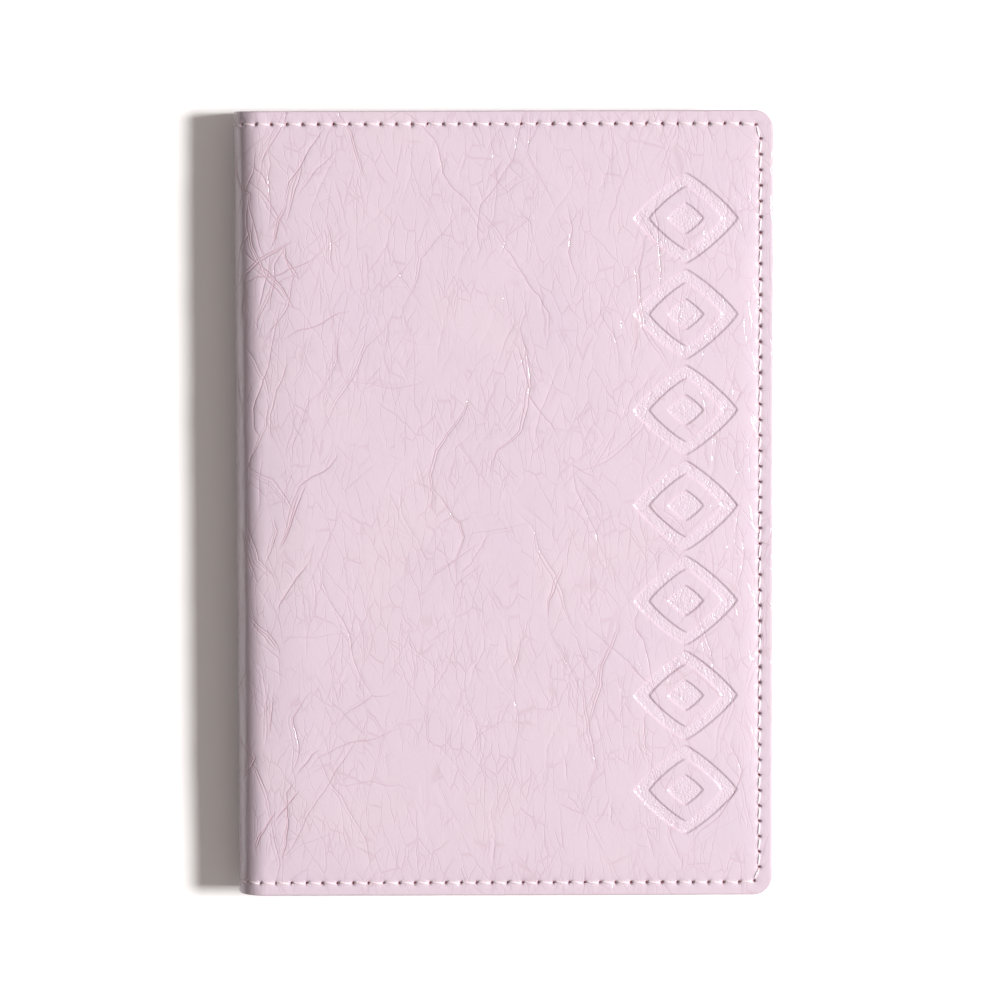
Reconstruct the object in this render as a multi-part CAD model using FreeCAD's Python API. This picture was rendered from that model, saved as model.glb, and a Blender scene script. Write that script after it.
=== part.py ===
import FreeCAD, Part
import math
import os

# Passport holder in padded patent leather, closed, lying on its back cover.
# Millimetres. Origin: centre of the bottom of the closed holder's bounding box.
# +X towards the fore edge, +Y towards the top edge, +Z out of the front cover.
#
# Each cover is built lying on its outer face, with z measured from that face inwards.
# The back cover already lies that way; the front cover is turned over by on_front().

# --- Driving dimensions -------------------------------------------------------------
width = 98.0                # outermost point of the spine to the fore edge
height = 143.5              # bottom edge to top edge
thickness = 12.8            # padded face to padded face
corner_radius = 3.5         # fore-edge corners in plan

leather = 1.0               # patent leather of the covers and spine
foam_space = 0.7            # room for the foam under the leather
board = 0.5                 # stiffener board
lining = 0.4
pocket_leather = 0.5        # pocket panels and card slots
pocket_gap = 0.5            # room between lining and pocket panel for a booklet cover
edge_paint = 0.3            # sealing coat on the cut edges
clearance = 0.05            # air around each soft or loose layer

seam_inset = 2.4            # stitch line from the cut edge
seam_to_padding = 0.6       # stitch line to the foot of the padding
padding_flank = 2.2         # padding slope in plan along the three sewn edges
spine_flank = 5.0           # the same slope on the spine side, skived longer
fold_to_padding = 1.5       # start of the fold to the foot of the padding

stitch_pitch = 2.84
stitch_length = 2.3
thread_diameter = 0.5
bobbin_diameter = 0.4
stitch_slant = 12.0         # degrees off the seam line
groove_width = 1.2
groove_depth = 0.4
panel_groove_width = 1.0    # shallower channels in the pocket panel and the card slots
panel_groove_depth = 0.3
slot_floor_diameter = 0.35  # thread that floors the upper card slot, hidden under the lower

spine_strip = 0.4           # reinforcement bonded into the skived spine leather
strip_inset = 4.0           # strip end from the top and bottom edges

card_width = 85.6           # ID-1 card
card_height = 54.0
card_margin = 1.4           # side play for a card between its seams
card_shows = 12.0           # how far a card stands out of its slot
slot_stagger = 16.0         # height between the two card slots
slot_edge_inset = 1.0       # card slots stop short of the painted edge
slot_beyond_seam = 1.6      # card slot leather past its seam on the spine side

passport_pocket_depth = 71.0    # fore edge to the free edge of the back pocket
thumb_notch_radius = 11.0
panel_to_fold = 0.95            # free edge of the front pocket to the fold

motif_count = 7             # debossed lozenges along the fore edge of the front cover
motif_pitch = 17.4
motif_half_width = 9.4
motif_half_height = 8.2
motif_stroke = 0.3          # stroke of a lozenge frame as a share of its half size
motif_core = 0.34           # solid lozenge in the middle, same share
motif_depth = 0.3
motif_to_edge = 6.5         # fore edge to the nearest lozenge tip

overshoot = 1.0             # how far a cutting shape stands out of what it cuts
overshoot_angle = 5.0       # the same round the fold, in degrees

# --- Worked-out dimensions ----------------------------------------------------------
half_width = width / 2
half_height = height / 2
rise = foam_space + board                   # padded face above the sewn margin
spine_radius = thickness / 2 - rise         # the spine is half a tube
fold_x = -half_width + spine_radius         # where the flat cover turns into the fold
fold_z = thickness / 2                      # centre line of the spine tube
lining_radius = spine_radius - leather      # where the lining meets the leather
inner_radius = lining_radius - lining       # inside face of the lining in the fold

lining_level = rise + leather
pocket_level = lining_level + lining
pocket_face = pocket_level + pocket_gap + pocket_leather
seam_x = half_width - seam_inset
seam_y = half_height - seam_inset
padding_x = seam_x - seam_to_padding
padding_y = seam_y - seam_to_padding
padding_start = fold_x + fold_to_padding

back_pocket_x = half_width - passport_pocket_depth
front_pocket_x = fold_x + panel_to_fold
card_seam_x = seam_x - card_width - card_margin
card_slot_x = card_seam_x - slot_beyond_seam
lower_slot_y = -seam_y + card_height - card_shows
upper_slot_y = lower_slot_y + slot_stagger
upper_slot_floor = upper_slot_y + card_shows - card_height

# The cover body keeps the first half of the quarter-turn fold, the spine body the rest.
spine_start = 135.0
spine_end = 225.0
fold_end = 270.0
fold_stitch_step = 30.0


def vec(x, y, z):
    return FreeCAD.Vector(x, y, z)


def on_front(shape):
    """Turn a cover-side shape over, onto the front of the closed holder."""
    return shape.mirror(vec(0, 0, thickness / 2), vec(0, 0, 1))


def box(x0, x1, y0, y1, z0, z1):
    return Part.makeBox(x1 - x0, y1 - y0, z1 - z0, vec(x0, y0, z0))


def sheet(inset, level, depth, start=None):
    """Flat layer with rounded fore-edge corners, from start (or the fold) to the fore edge."""
    start = fold_x if start is None else start
    right = half_width - inset
    top = half_height - inset
    r = corner_radius - inset
    k = r * math.sqrt(0.5)
    edges = [
        Part.makeLine(vec(start, -top, level), vec(right - r, -top, level)),
        Part.Arc(
            vec(right - r, -top, level),
            vec(right - r + k, -top + r - k, level),
            vec(right, -top + r, level),
        ).toShape(),
        Part.makeLine(vec(right, -top + r, level), vec(right, top - r, level)),
        Part.Arc(
            vec(right, top - r, level),
            vec(right - r + k, top - r + k, level),
            vec(right - r, top, level),
        ).toShape(),
        Part.makeLine(vec(right - r, top, level), vec(start, top, level)),
        Part.makeLine(vec(start, top, level), vec(start, -top, level)),
    ]
    return Part.Face(Part.Wire(edges)).extrude(vec(0, 0, depth))


def around_fold(radius, degrees, y=0.0):
    """Point on the fold; 270 degrees is where the back cover meets it, 180 is the spine."""
    a = math.radians(degrees)
    return vec(fold_x + radius * math.cos(a), y, fold_z + radius * math.sin(a))


def fold_band(r_in, r_out, start_deg, end_deg, y0, y1):
    """Part of a tube wall round the fold, from y0 to y1."""
    middle = (start_deg + end_deg) / 2
    wire = Part.Wire([
        Part.Arc(
            around_fold(r_out, start_deg, y0),
            around_fold(r_out, middle, y0),
            around_fold(r_out, end_deg, y0),
        ).toShape(),
        Part.makeLine(around_fold(r_out, end_deg, y0), around_fold(r_in, end_deg, y0)),
        Part.Arc(
            around_fold(r_in, end_deg, y0),
            around_fold(r_in, middle, y0),
            around_fold(r_in, start_deg, y0),
        ).toShape(),
        Part.makeLine(around_fold(r_in, start_deg, y0), around_fold(r_out, start_deg, y0)),
    ])
    return Part.Face(wire).extrude(vec(0, y1 - y0, 0))


def rectangle(x0, x1, y0, y1, z):
    return [vec(x0, y0, z), vec(x1, y0, z), vec(x1, y1, z), vec(x0, y1, z)]


def frustum(lower, upper):
    """Solid between two four-cornered outlines, with flat sides."""
    outlines = [lower, upper]
    for i in range(4):
        j = (i + 1) % 4
        outlines.append([lower[i], lower[j], upper[j], upper[i]])
    faces = [Part.Face(Part.makePolygon(points + points[:1])) for points in outlines]
    solid = Part.Solid(Part.Shell(faces))
    if solid.Volume < 0:
        solid.reverse()
    return solid


def padding_rectangle(h, gap):
    """Outline of the padding at height h above the sewn margin, as x0, x1, y."""
    share = h / rise
    x0 = padding_start + spine_flank * share + gap
    x1 = padding_x - padding_flank * share - gap
    y = padding_y - padding_flank * share - gap
    return x0, x1, y


def padding_block(level, h0, h1, gap=0.0):
    """Slice of the padding from height h0 to h1, measured outwards from level."""
    outlines = []
    for h in (h0, h1):
        x0, x1, y = padding_rectangle(h, gap)
        outlines.append(rectangle(x0, x1, -y, y, level - h))
    return frustum(*outlines)


def lozenge(x, y, share, z0, z1):
    a = motif_half_width * share
    b = motif_half_height * share
    points = [vec(x - a, y, z0), vec(x, y - b, z0), vec(x + a, y, z0), vec(x, y + b, z0)]
    face = Part.Face(Part.makePolygon(points + points[:1]))
    return face.extrude(vec(0, 0, z1 - z0))


def motif_recess():
    """Column of lozenge frames, each round a solid lozenge, pressed into the front cover."""
    x = half_width - motif_to_edge - motif_half_width
    cuts = []
    for i in range(motif_count):
        y = (i - (motif_count - 1) / 2) * motif_pitch
        frame = lozenge(x, y, 1.0, -overshoot, motif_depth)
        frame = frame.cut(lozenge(x, y, 1.0 - motif_stroke, -overshoot, motif_depth))
        cuts.append(frame)
        cuts.append(lozenge(x, y, motif_core, -overshoot, motif_depth))
    return Part.makeCompound(cuts)


def stitch_groove():
    """Channel in the outer face that the seam thread lies in, fold included."""
    half = groove_width / 2
    x1 = seam_x + half
    z0 = rise - overshoot
    z1 = rise + groove_depth
    r0 = spine_radius - groove_depth
    r1 = spine_radius + overshoot
    cuts = [box(seam_x - half, x1, -seam_y - half, seam_y + half, z0, z1)]
    for y in (-seam_y, seam_y):
        cuts.append(box(fold_x, x1, y - half, y + half, z0, z1))
        cuts.append(fold_band(r0, r1, spine_end, fold_end, y - half, y + half))
    return Part.makeCompound(cuts)


def cover_leather(recess=None):
    """Outer leather: sewn margin, half of the fold and the raised padded centre."""
    top = half_height - edge_paint
    body = sheet(edge_paint, rise, leather)
    body = body.fuse(fold_band(lining_radius, spine_radius, spine_end, fold_end, -top, top))
    body = body.fuse(padding_block(rise, 0.0, rise))
    body = body.cut(padding_block(rise + leather, 0.0, rise))
    body = body.cut(stitch_groove())
    if recess is not None:
        body = body.cut(recess)
    return body.removeSplitter()


def cover_foam():
    return padding_block(lining_level, board + clearance, rise - clearance, clearance)


def cover_board():
    x0, x1, y = padding_rectangle(board, 2 * clearance)
    return box(x0, x1, -y, y, lining_level - board, lining_level)


def cover_lining():
    top = half_height - edge_paint
    flat = sheet(edge_paint, lining_level, lining)
    fold = fold_band(inner_radius, lining_radius, spine_end, fold_end, -top, top)
    return flat.fuse(fold).removeSplitter()


def dished(flat, zone, level):
    """Sheet lifted by pocket_gap inside zone, so that it stands clear of the layer below."""
    x0, x1, y0, y1 = zone
    step = pocket_leather
    lower = rectangle(x0, x1, y0, y1, level)
    upper = rectangle(x0, x1 - step, y0 + step, y1 - step, level + step)
    lift = frustum(lower, upper)
    outline = box(
        flat.BoundBox.XMin, flat.BoundBox.XMax, flat.BoundBox.YMin, flat.BoundBox.YMax,
        level, level + 2 * step,
    )
    raised = lift.translated(vec(0, 0, step)).common(outline)
    return flat.fuse(raised).cut(lift).removeSplitter()


def pocket_panel(start):
    """Panel sewn down on three sides, open towards the spine."""
    flat = sheet(edge_paint, pocket_level, pocket_leather, start)
    zone = (start - overshoot, padding_x, -padding_y, padding_y)
    return dished(flat, zone, pocket_level)


def panel_groove(x0, x1, y0, y1, face, depth=panel_groove_depth):
    """Channel sunk into a face, round the stitch line from (x0, y0) to (x1, y1)."""
    half = panel_groove_width / 2
    return box(x0 - half, x1 + half, y0 - half, y1 + half, face - depth, face + overshoot)


def edged_pocket_panel(start):
    """Pocket panel with the channel for the stitching along its free edge."""
    x = start + seam_inset
    end = padding_y - seam_inset
    return pocket_panel(start).cut(panel_groove(x, x, -end, end, pocket_face))


def back_pocket():
    panel = edged_pocket_panel(back_pocket_x)
    notch = Part.makeCylinder(thumb_notch_radius, thickness, vec(back_pocket_x, 0, 0))
    return panel.cut(notch)


def card_slot(top, level):
    """Card slot sewn at both sides and along the bottom, open at the top."""
    right = half_width - slot_edge_inset
    bottom = -half_height + slot_edge_inset
    flat = sheet(slot_edge_inset, level, pocket_leather, card_slot_x)
    flat = flat.common(box(card_slot_x, right, bottom, top, level, level + pocket_leather))
    zone = (card_slot_x - overshoot, padding_x, -padding_y, half_height)
    face = level + 2 * pocket_leather
    side_groove = panel_groove(card_seam_x, card_seam_x, -seam_y, upper_slot_y, face)
    return dished(flat, zone, level).cut(side_groove)


def upper_card_slot():
    """The upper slot also carries the cross seam that floors it, sunk under the lower slot."""
    slot = card_slot(upper_slot_y, pocket_level + pocket_leather)
    y = upper_slot_floor
    face = pocket_face + pocket_leather
    return slot.cut(panel_groove(card_seam_x, padding_x, y, y, face, slot_floor_diameter))


def lower_card_slot():
    return card_slot(lower_slot_y, pocket_level + 2 * pocket_leather)


def cover_edge_paint(panel_start):
    """Painted cut edge: leather, lining and pocket panel sealed together."""
    layers = leather + lining
    with_panel = layers + pocket_leather
    band = sheet(0.0, rise, layers).cut(sheet(edge_paint, rise, layers))
    outside = sheet(0.0, rise, with_panel, panel_start)
    band = band.fuse(outside.cut(sheet(edge_paint, rise, with_panel, panel_start)))
    for y in (-half_height, half_height - edge_paint):
        band = band.fuse(
            fold_band(inner_radius, spine_radius, spine_end, fold_end, y, y + edge_paint)
        )
    return band.removeSplitter()


def thread(diameter, length):
    """One stitch lying along X: a thread with rounded ends."""
    r = diameter / 2
    a = length / 2 - r
    k = r * math.sqrt(0.5)
    wire = Part.Wire([
        Part.makeLine(vec(-a - r, 0, 0), vec(a + r, 0, 0)),
        Part.Arc(vec(a + r, 0, 0), vec(a + k, k, 0), vec(a, r, 0)).toShape(),
        Part.makeLine(vec(a, r, 0), vec(-a, r, 0)),
        Part.Arc(vec(-a, r, 0), vec(-a - k, k, 0), vec(-a - r, 0, 0)).toShape(),
    ])
    return Part.Face(wire).revolve(vec(0, 0, 0), vec(1, 0, 0), 360)


def stitch_row(diameter, centres, heading, slant=stitch_slant):
    """Flat run of stitches: one at each centre, turned to heading (degrees) plus the slant."""
    one = thread(diameter, stitch_length)
    one.rotate(vec(0, 0, 0), vec(0, 0, 1), heading + slant)
    return [one.translated(centre) for centre in centres]


def fold_stitches(diameter, radius, length, angles):
    """Stitches round the fold at the top and bottom seams."""
    one = thread(diameter, length)
    stitches = []
    for y in (-seam_y, seam_y):
        for angle in angles:
            lying = one.copy()
            lying.rotate(vec(0, 0, 0), vec(0, 1, 0), 90 - angle)
            stitches.append(lying.translated(around_fold(radius, angle, y)))
    return stitches


def spread(start, end, count):
    """Centres of count equal stitches that fill start to end."""
    step = (end - start) / count
    return [start + step * (i + 0.5) for i in range(count)]


def seam_stitches(diameter, level_at):
    """Seam round the three open sides of a cover; level_at(x, y) is the face they lie on."""
    count = round((seam_x - fold_x) / stitch_pitch - 0.5)
    step = (seam_x - fold_x) / (count + 0.5)
    row_x = [fold_x + step * i for i in range(count + 1)]
    stitches = []
    for y in (-seam_y, seam_y):
        centres = [vec(x, y, level_at(x, y)) for x in row_x]
        stitches += stitch_row(diameter, centres, 0.0)
    column_y = spread(-seam_y, seam_y, round(2 * seam_y / stitch_pitch))
    centres = [vec(seam_x, y, level_at(seam_x, y)) for y in column_y]
    return stitches + stitch_row(diameter, centres, 90.0)


def outer_stitches():
    """Needle thread on the outer face, in the groove."""
    lie = rise + groove_depth - thread_diameter / 2
    radius = spine_radius - groove_depth + thread_diameter / 2
    stitches = seam_stitches(thread_diameter, lambda x, y: lie)
    angle = fold_end - fold_stitch_step
    stitches += fold_stitches(thread_diameter, radius, stitch_length, [angle])
    return Part.makeCompound(stitches)


def inner_fold_stitches(angles):
    """Bobbin thread on the lining in the fold; the inside curve is tighter, so it is shorter."""
    radius = inner_radius - bobbin_diameter
    length = stitch_length * inner_radius / spine_radius
    return fold_stitches(bobbin_diameter, radius, length, angles)


def inner_stitches(panel_start, has_card_slots):
    """Bobbin thread on the inside: on the lining, the panel's margin or the card slots."""
    reach = stitch_length / 2
    over_fold = reach ** 2 / (2 * inner_radius)     # rise of the lining under a stitch's end

    def level_at(x, y):
        level = pocket_level + bobbin_diameter / 2 + clearance
        if x - reach < fold_x:
            level += over_fold
        if x + reach > panel_start:
            level += pocket_leather
        if has_card_slots and x + reach > card_slot_x:
            level += pocket_leather * (y - reach < upper_slot_y)
            level += pocket_leather * (y - reach < lower_slot_y)
        return level

    stitches = seam_stitches(bobbin_diameter, level_at)
    stitches += inner_fold_stitches([fold_end - fold_stitch_step])
    return Part.makeCompound(stitches)


def pocket_edge_stitches(start, notch_radius):
    """Decorative row along a pocket's free edge, left out across a thumb notch."""
    x = start + seam_inset
    z = pocket_face - panel_groove_depth + bobbin_diameter / 2
    reach = notch_radius + seam_inset if notch_radius else 0.0
    end = padding_y - seam_inset
    ys = spread(-end, end, round(2 * end / stitch_pitch))
    centres = [vec(x, y, z) for y in ys if abs(y) > reach]
    return Part.makeCompound(stitch_row(bobbin_diameter, centres, 90.0))


def card_slot_stitches():
    """Spine-side seam of both slots and the cross seam that floors the upper slot."""
    face = pocket_face + pocket_leather
    sunk = bobbin_diameter / 2 - panel_groove_depth
    side_y = spread(-padding_y, upper_slot_y, round((upper_slot_y + padding_y) / stitch_pitch))
    centres = []
    for y in side_y:
        if abs(y - lower_slot_y) > stitch_pitch / 2:
            covered = y < lower_slot_y
            centres.append(vec(card_seam_x, y, face + sunk + pocket_leather * covered))
    stitches = stitch_row(bobbin_diameter, centres, 90.0)
    start = card_seam_x + stitch_pitch
    end = padding_x - stitch_pitch
    floor_x = spread(start, end, round((end - start) / stitch_pitch))
    centres = [vec(x, upper_slot_floor, face - slot_floor_diameter / 2) for x in floor_x]
    stitches += stitch_row(slot_floor_diameter, centres, 0.0, 0.0)
    return Part.makeCompound(stitches)


def spine_leather():
    """Middle half of the fold, skived on the inside for the reinforcement strip."""
    top = half_height - edge_paint
    strip_top = half_height - strip_inset + clearance
    recess_radius = lining_radius + spine_strip
    body = fold_band(lining_radius, spine_radius, spine_start, spine_end, -top, top)
    start = spine_start - overshoot_angle
    end = spine_end + overshoot_angle
    body = body.cut(fold_band(
        lining_radius - overshoot, recess_radius, start, end, -strip_top, strip_top,
    ))
    half = groove_width / 2
    r0 = spine_radius - groove_depth
    r1 = spine_radius + overshoot
    for y in (-seam_y, seam_y):
        body = body.cut(fold_band(r0, r1, start, end, y - half, y + half))
    return body


def spine_reinforcement():
    top = half_height - strip_inset
    return fold_band(
        lining_radius, lining_radius + spine_strip, spine_start, spine_end, -top, top,
    )


def spine_lining():
    top = half_height - edge_paint
    return fold_band(inner_radius, lining_radius, spine_start, spine_end, -top, top)


def spine_edge_paint():
    bands = []
    for y in (-half_height, half_height - edge_paint):
        bands.append(
            fold_band(inner_radius, spine_radius, spine_start, spine_end, y, y + edge_paint)
        )
    return Part.makeCompound(bands)


def spine_angles():
    """Stitches of the seam that fall on the spine body."""
    count = round((spine_end - spine_start) / fold_stitch_step)
    return [spine_start + fold_stitch_step * (i + 0.5) for i in range(count)]


def spine_outer_stitches():
    radius = spine_radius - groove_depth + thread_diameter / 2
    stitches = fold_stitches(thread_diameter, radius, stitch_length, spine_angles())
    return Part.makeCompound(stitches)


def spine_inner_stitches():
    return Part.makeCompound(inner_fold_stitches(spine_angles()))


def build():
    """Every named piece of the closed holder."""
    return {
        "back_cover_leather": cover_leather(),
        "back_foam_padding": cover_foam(),
        "back_stiffener_board": cover_board(),
        "back_lining": cover_lining(),
        "back_pocket_panel": back_pocket(),
        "back_edge_paint": cover_edge_paint(back_pocket_x),
        "back_seam_stitches": outer_stitches(),
        "back_seam_inner_stitches": inner_stitches(back_pocket_x, False),
        "back_pocket_edge_stitches": pocket_edge_stitches(back_pocket_x, thumb_notch_radius),
        "front_cover_leather": on_front(cover_leather(motif_recess())),
        "front_foam_padding": on_front(cover_foam()),
        "front_stiffener_board": on_front(cover_board()),
        "front_lining": on_front(cover_lining()),
        "front_pocket_panel": on_front(pocket_panel(front_pocket_x)),
        "upper_card_slot": on_front(upper_card_slot()),
        "lower_card_slot": on_front(lower_card_slot()),
        "front_edge_paint": on_front(cover_edge_paint(front_pocket_x)),
        "front_seam_stitches": on_front(outer_stitches()),
        "front_seam_inner_stitches": on_front(inner_stitches(front_pocket_x, True)),
        "card_slot_stitches": on_front(card_slot_stitches()),
        "spine_leather": spine_leather(),
        "spine_reinforcement": spine_reinforcement(),
        "spine_lining": spine_lining(),
        "spine_edge_paint": spine_edge_paint(),
        "spine_seam_stitches": spine_outer_stitches(),
        "spine_seam_inner_stitches": spine_inner_stitches(),
    }


os.makedirs("parts", exist_ok=True)
for name, shape in build().items():
    shape.exportStep(f"parts/{name}.step")
    b = shape.BoundBox
    print(
        f"{name}: {len(shape.Solids)} solids, valid {shape.isValid()}, "
        f"x {b.XMin:.2f}..{b.XMax:.2f} y {b.YMin:.2f}..{b.YMax:.2f} z {b.ZMin:.2f}..{b.ZMax:.2f}"
    )
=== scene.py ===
import math

import bpy
import numpy as np
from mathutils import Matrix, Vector
from mathutils.geometry import delaunay_2d_cdt


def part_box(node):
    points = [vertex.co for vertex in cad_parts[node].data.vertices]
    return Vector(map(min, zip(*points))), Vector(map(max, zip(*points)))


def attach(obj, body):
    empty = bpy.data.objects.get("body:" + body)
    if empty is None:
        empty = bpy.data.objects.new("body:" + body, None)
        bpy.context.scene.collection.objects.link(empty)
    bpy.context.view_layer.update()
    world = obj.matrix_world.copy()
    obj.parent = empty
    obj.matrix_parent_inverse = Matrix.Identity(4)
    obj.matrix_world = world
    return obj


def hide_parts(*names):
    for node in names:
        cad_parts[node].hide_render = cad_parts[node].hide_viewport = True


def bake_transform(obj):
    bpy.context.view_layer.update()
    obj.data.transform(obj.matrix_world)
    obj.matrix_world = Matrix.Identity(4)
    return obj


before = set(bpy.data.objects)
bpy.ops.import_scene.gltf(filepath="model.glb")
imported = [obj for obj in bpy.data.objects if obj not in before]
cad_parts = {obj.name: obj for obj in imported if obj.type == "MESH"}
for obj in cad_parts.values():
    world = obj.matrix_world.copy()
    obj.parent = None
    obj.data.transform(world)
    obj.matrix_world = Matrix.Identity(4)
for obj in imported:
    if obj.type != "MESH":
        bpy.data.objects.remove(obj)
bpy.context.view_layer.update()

# Shapes are worked out in millimetres and turned into metres when a mesh is made.
#
# The leather and the lining are one sheet each on the real holder, so they are drawn on a
# flat pattern: s runs across the opened holder from the middle of the spine (front cover
# positive, back cover negative) and y runs up it. wrap() folds the pattern round the spine.

MM = 0.001
SEED = 20

# --- Sizes read from the frame --------------------------------------------------------


def node_box(name):
    low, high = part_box(name)
    return np.array(low) / MM, np.array(high) / MM


half_width, half_height, paint_top = node_box("front_edge_paint")[1]
leather_end, _, holder_top = node_box("front_cover_leather")[1]
spine_edge = node_box("spine_leather")[0][0]
lining_face = node_box("front_lining")[1][2]
panel_low, panel_high = node_box("front_pocket_panel")
back_panel_low, back_panel_high = node_box("back_pocket_panel")
upper_slot_low, upper_slot_high = node_box("upper_card_slot")
lower_slot_low, lower_slot_high = node_box("lower_card_slot")
edge_row_low, edge_row_high = node_box("back_pocket_edge_stitches")
slot_row_low, slot_row_high = node_box("card_slot_stitches")

middle_z = holder_top / 2
fold_radius = paint_top - middle_z              # outer face of the leather in the fold
fold_x = spine_edge + fold_radius               # where the flat cover begins
fold_length = fold_radius * math.pi / 2         # flat-pattern length of half the fold
puff = holder_top - paint_top                   # padded face above the sewn margin
leather_depth = paint_top - lining_face
lining_depth = paint_top - panel_high[2]        # depth of the lining's inner face
panel_thickness = (panel_high[2] - panel_low[2]) / 2
paint_width = half_width - leather_end
sheet_end = fold_length + half_width - fold_x   # flat-pattern position of the fore edge
corner_radius = 3.5
seam_inset = 2.4
seam_x = half_width - seam_inset
seam_y = half_height - seam_inset
stitch_pitch = 2.84


def s_of_x(x):
    """Flat-pattern position of a point on the flat part of the front cover."""
    return fold_length + x - fold_x


def x_of_s(s):
    return fold_x + np.abs(s) - fold_length


def wrap(s, y, depth):
    """Pattern point to space: depth is measured inwards from the leather's outer face."""
    a = np.abs(s)
    side = np.where(s < 0, -1.0, 1.0)
    turn = np.minimum(a, fold_length) / fold_radius
    r = fold_radius - depth
    x = fold_x - r * np.cos(turn) + np.maximum(a - fold_length, 0.0)
    z = middle_z + side * r * np.sin(turn)
    return np.stack([x, y, z], axis=-1)


# --- Small maths ------------------------------------------------------------------------


def smooth(t):
    t = np.clip(t, 0.0, 1.0)
    return t * t * (3.0 - 2.0 * t)


def pillow(t, power):
    """Rises steeply from 0 and eases out to 1."""
    return 1.0 - (1.0 - np.clip(t, 0.0, 1.0)) ** power


def waves(rng, count, shortest, longest):
    """Smooth random field over the flat pattern, roughly between -1 and 1."""
    length = rng.uniform(shortest, longest, count)
    angle = rng.uniform(0, math.tau, count)
    phase = rng.uniform(0, math.tau, count)
    kx = math.tau * np.cos(angle) / length
    ky = math.tau * np.sin(angle) / length

    def field(s, y):
        total = np.zeros_like(s)
        for i in range(count):
            total += np.cos(kx[i] * s + ky[i] * y + phase[i])
        return total / math.sqrt(count)

    return field


# --- Creases of the crinkled leather ----------------------------------------------------

RASTER_STEP = 0.045             # spacing of the crease height map
PATH_STEP = 0.9
DEEP_CREASE = 0.026
FAINT_CREASE = 0.013
# Mesh lines across a groove, in half widths; a faint one only needs its bright or dark wall.
DEEP_LINES = (-1.0, -0.5, 0.0, 0.5, 1.0)
MIDDLING_LINES = (-1.0, -0.5, 0.5, 1.0)
FAINT_LINES = ((-1.0, -0.5, 1.0), (-1.0, 0.5, 1.0))


class Crease:
    """One groove: a line of points on the flat pattern with a half width and a depth."""

    def __init__(self, points, half, depth):
        self.points = points
        self.half = half
        along = np.linspace(0.02, 0.98, len(points))
        self.depth = depth * np.sin(math.pi * along) ** 0.6
        if depth > DEEP_CREASE:
            self.lines = DEEP_LINES
        elif depth > FAINT_CREASE:
            self.lines = MIDDLING_LINES
        else:
            self.lines = FAINT_LINES[len(points) % 2]


def crease_path(rng, start, heading, length):
    """Walk with gentle bends and a sharper kink every few millimetres."""
    home = heading
    points = [start]
    to_kink = rng.uniform(1.5, 5.0)
    for _ in range(max(4, int(length / PATH_STEP))):
        heading += rng.normal(0.0, 0.06) + 0.1 * (home - heading)
        to_kink -= PATH_STEP
        if to_kink < 0.0:
            heading += rng.normal(0.0, 0.33)
            to_kink = rng.uniform(1.5, 5.0)
        points.append(points[-1] + PATH_STEP * np.array([math.cos(heading), math.sin(heading)]))
    return np.array(points)


def beside(points, offset):
    """The same line moved sideways by offset, one value per point."""
    along = np.gradient(points, axis=0)
    along /= np.linalg.norm(along, axis=1)[:, None]
    across = np.stack([-along[:, 1], along[:, 0]], axis=1)
    return points + across * np.broadcast_to(offset, len(points))[:, None]


def add_strands(rng, creases, path, depth, odds):
    """A crease is often two or three grooves that run side by side and meet at the ends."""
    count = rng.choice([1, 2, 3], p=odds)
    gap = rng.uniform(0.32, 0.62)
    n = len(path)
    for k in range(count):
        spread = (k - (count - 1) / 2) * gap
        bow = np.sin(np.linspace(0, math.pi, n)) ** 0.5
        wobble = 0.12 * np.sin(np.linspace(0, rng.uniform(3, 9), n) + rng.uniform(0, 6))
        first = rng.integers(0, max(1, n // 4)) if k else 0
        last = n - (rng.integers(0, max(1, n // 3)) if k else 0)
        if last - first < 4:
            continue
        line = beside(path, spread * bow + wobble)[first:last]
        half = rng.uniform(0.10, 0.14) + 0.9 * depth
        fade = 1.0 if k == 0 else rng.uniform(0.35, 0.8)
        creases.append(Crease(line, half, depth * fade))


def make_creases(rng):
    """Deep, middling and faint creases all over, and short deep ones that cross the fold."""
    creases = []
    #         count  shortest longest  shallow deep   one, two or three strands
    kinds = ((90,    10.0,    34.0,    0.030,  0.055, (0.35, 0.40, 0.25)),
             (230,   6.0,     20.0,    0.016,  0.030, (0.45, 0.40, 0.15)),
             (480,   3.0,     12.0,    0.007,  0.013, (0.65, 0.35, 0.00)))
    for count, shortest, longest, shallow, deep, odds in kinds:
        for _ in range(count):
            start = rng.uniform(-1, 1, 2) * (sheet_end, half_height)
            lean = rng.choice([-0.4, 0.4, 0.0], p=[0.33, 0.33, 0.34]) + rng.normal(0, 0.2)
            length = rng.uniform(shortest, longest)
            depth = rng.uniform(shallow, deep)
            path = crease_path(rng, start, math.pi / 2 + lean, length)
            add_strands(rng, creases, path, depth, odds)
            if rng.uniform() < 0.45:
                node = path[rng.integers(2, len(path) - 2)]
                turn = rng.choice([-1, 1]) * rng.uniform(0.5, 1.2)
                branch = crease_path(rng, node, math.pi / 2 + lean + turn, length * 0.5)
                add_strands(rng, creases, branch, depth * 0.7, odds)
    for _ in range(120):
        start = np.array([rng.uniform(2, 15) * rng.choice([-1, 1]), rng.uniform(-1, 1) * half_height])
        lean = rng.choice([-1, 1]) * rng.uniform(0.15, 0.75)
        path = crease_path(rng, start, math.pi / 2 + lean, rng.uniform(6, 18))
        add_strands(rng, creases, path, rng.uniform(0.03, 0.085), (0.4, 0.4, 0.2))
    return creases


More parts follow.
